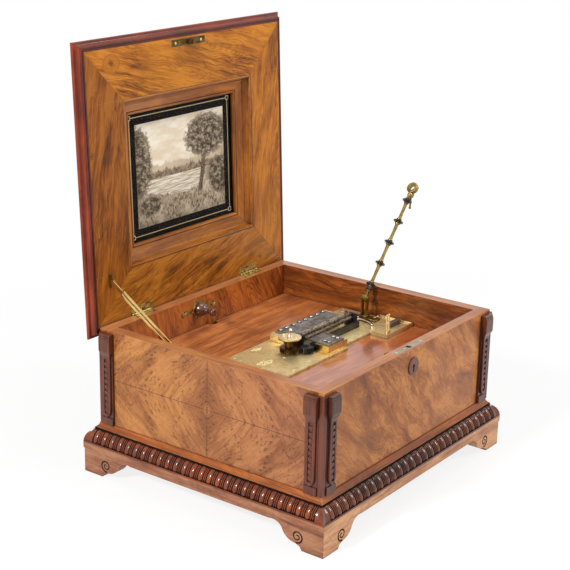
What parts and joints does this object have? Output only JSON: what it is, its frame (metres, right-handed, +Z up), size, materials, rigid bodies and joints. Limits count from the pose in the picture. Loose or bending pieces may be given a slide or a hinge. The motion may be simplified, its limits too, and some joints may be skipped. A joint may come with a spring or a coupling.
{
  "type": "disc music box",
  "caption": "Walnut table disc music box with open lid, gadrooned plinth, brass bedplate, steel comb, star wheels, centre drive and a raised pressure bar",
  "frame": {"origin": "middle of the whole object's footprint with the lid open and the pressure bar raised, at the floor under the feet", "axes": "+Z up; -Y is the keyhole side, so the lid opens towards +Y; +X is to the right seen from the keyhole side, along the star wheels towards the bar post"},
  "size_m": [0.6288, 0.5266, 0.7204],
  "materials": {
    "case_walnut": "satin",
    "plinth_wood": "satin",
    "dark_moulding": "gloss",
    "deck_wood": "gloss",
    "rough_wood": "matte",
    "lid_walnut": "satin",
    "mahogany_edge": "gloss",
    "old_brass": "satin",
    "bright_brass": "polished",
    "black_iron": "satin",
    "tempered_steel": "brushed",
    "star_steel": "brushed",
    "screw_steel": "polished",
    "roller_black": "gloss",
    "turned_wood": "gloss",
    "picture_glass": "clear",
    "print_paper": "matte",
    "dark_horn": "satin"
  },
  "bodies": {
    "case": {"bottom_board": "rough_wood", "front_wall": "case_walnut", "back_wall": "case_walnut", "left_wall": "case_walnut", "right_wall": "case_walnut", "base_front": "plinth_wood", "base_back": "plinth_wood", "base_left": "plinth_wood", "base_right": "plinth_wood", "gadroon_moulding": "dark_moulding", "waist_moulding": "dark_moulding", "corner_pilasters": "dark_moulding", "deck_back_board": "deck_wood", "deck_front_board": "deck_wood", "deck_bearers": "rough_wood", "lock_case": "tempered_steel", "key_escutcheon": "dark_horn", "case_hinge_leaves": "old_brass", "knob_plate": "old_brass", "stay_stud": "bright_brass", "bedplate": "old_brass", "end_plate": "old_brass", "stop_spring": "black_iron", "comb_base": "old_brass", "long_comb": "tempered_steel", "comb_screws": "screw_steel", "front_comb": "tempered_steel", "front_comb_base": "old_brass", "star_gantry": "black_iron", "bar_post": "bright_brass", "spindle": "tempered_steel", "motor_frame": "old_brass", "barrel_arbor": "black_iron"},
    "lid": {"lid_frame": "lid_walnut", "lid_top_panel": "lid_walnut", "lid_edge_moulding": "mahogany_edge", "picture_moulding": "mahogany_edge", "picture_glass": "picture_glass", "picture_print": "print_paper", "lid_strike_plate": "bright_brass", "lid_hinge_leaves": "old_brass", "stay_ear": "bright_brass"},
    "lid_stay": {"lid_stay": "bright_brass"},
    "pressure_bar": {"pressure_bar": "bright_brass"},
    "bar_latch": {"bar_latch": "black_iron"},
    "roller_1": {"roller_1": "roller_black"},
    "roller_2": {"roller_2": "roller_black"},
    "roller_3": {"roller_3": "roller_black"},
    "roller_4": {"roller_4": "roller_black"},
    "roller_5": {"roller_5": "roller_black"},
    "drive_wheel": {"drive_wheel": "bright_brass"},
    "drive_idler": {"drive_idler": "black_iron"},
    "star_wheels": {"star_wheels": "star_steel"},
    "spring_barrel": {"spring_barrel": "bright_brass"},
    "governor_fan": {"governor_fan": "tempered_steel"},
    "start_lever": {"start_lever": "bright_brass"},
    "wall_knob": {"wall_knob": "turned_wood"},
    "lock_bolt": {"lock_bolt": "tempered_steel"}
  },
  "joints": [
    {"name": "lid_hinge", "type": "hinge", "parent": "case", "child": "lid", "pos_m": [-0.04188, 0.21043, 0.2553], "axis": [1, 0, 0], "range_deg": [0, 92.6]},
    {"name": "stay_pivot", "type": "hinge", "parent": "lid", "child": "lid_stay", "pos_m": [-0.26388, 0.20677, 0.32785], "axis": [1, 0, 0], "range_deg": [-127.4, 0]},
    {"name": "bar_pivot", "type": "hinge", "parent": "case", "child": "pressure_bar", "pos_m": [0.15762, -0.01577, 0.2405], "axis": [0, -1, 0], "range_deg": [0, 130]},
    {"name": "latch_pivot", "type": "hinge", "parent": "pressure_bar", "child": "bar_latch", "pos_m": [0.30183, -0.01577, 0.40147], "axis": [0, 1, 0], "range_deg": [0, 10]},
    {"name": "roller_1_spin", "type": "hinge", "parent": "pressure_bar", "child": "roller_1", "pos_m": [0.17498, -0.01577, 0.26118], "axis": [0.6428, 0, 0.766], "continuous": true},
    {"name": "roller_2_spin", "type": "hinge", "parent": "pressure_bar", "child": "roller_2", "pos_m": [0.20294, -0.01577, 0.29451], "axis": [0.6428, 0, 0.766], "continuous": true},
    {"name": "roller_3_spin", "type": "hinge", "parent": "pressure_bar", "child": "roller_3", "pos_m": [0.2309, -0.01577, 0.32783], "axis": [0.6428, 0, 0.766], "continuous": true},
    {"name": "roller_4_spin", "type": "hinge", "parent": "pressure_bar", "child": "roller_4", "pos_m": [0.25886, -0.01577, 0.36115], "axis": [0.6428, 0, 0.766], "continuous": true},
    {"name": "roller_5_spin", "type": "hinge", "parent": "pressure_bar", "child": "roller_5", "pos_m": [0.28682, -0.01577, 0.39447], "axis": [0.6428, 0, 0.766], "continuous": true},
    {"name": "barrel_turn", "type": "hinge", "parent": "case", "child": "spring_barrel", "pos_m": [-0.01155, -0.01577, 0.1855], "axis": [0, 0, 1], "continuous": true},
    {"name": "idler_turn", "type": "hinge", "parent": "case", "child": "drive_idler", "pos_m": [-0.05188, -0.03705, 0.1855], "axis": [0, 0, 1], "continuous": true},
    {"name": "drive_turn", "type": "hinge", "parent": "case", "child": "drive_wheel", "pos_m": [-0.07038, -0.01577, 0.2075], "axis": [0, 0, 1], "continuous": true},
    {"name": "governor_turn", "type": "hinge", "parent": "case", "child": "governor_fan", "pos_m": [0.03285, -0.01577, 0.145], "axis": [0, 0, 1], "continuous": true},
    {"name": "star_turn", "type": "hinge", "parent": "case", "child": "star_wheels", "pos_m": [0.03412, -0.01577, 0.2195], "axis": [1, 0, 0], "continuous": true},
    {"name": "lever_tilt", "type": "hinge", "parent": "case", "child": "start_lever", "pos_m": [0.10962, -0.09577, 0.206], "axis": [0, 1, 0], "range_deg": [-12, 12]},
    {"name": "knob_turn", "type": "hinge", "parent": "case", "child": "wall_knob", "pos_m": [-0.06288, 0.18673, 0.2325], "axis": [0, -1, 0], "continuous": true},
    {"name": "bolt_slide", "type": "slide", "parent": "case", "child": "lock_bolt", "axis": [-1, 0, 0], "range_m": [0, 0.009]}
  ],
  "couplings": [
    {"joint": "stay_pivot", "follows": "lid_hinge", "ratio": -1.3575},
    {"joint": "bar_pivot", "follows": "lid_hinge", "ratio": 1.4036},
    {"joint": "idler_turn", "follows": "barrel_turn", "ratio": -5.3333},
    {"joint": "drive_turn", "follows": "barrel_turn", "ratio": 3.9506},
    {"joint": "governor_turn", "follows": "barrel_turn", "ratio": -6.4}
  ]
}
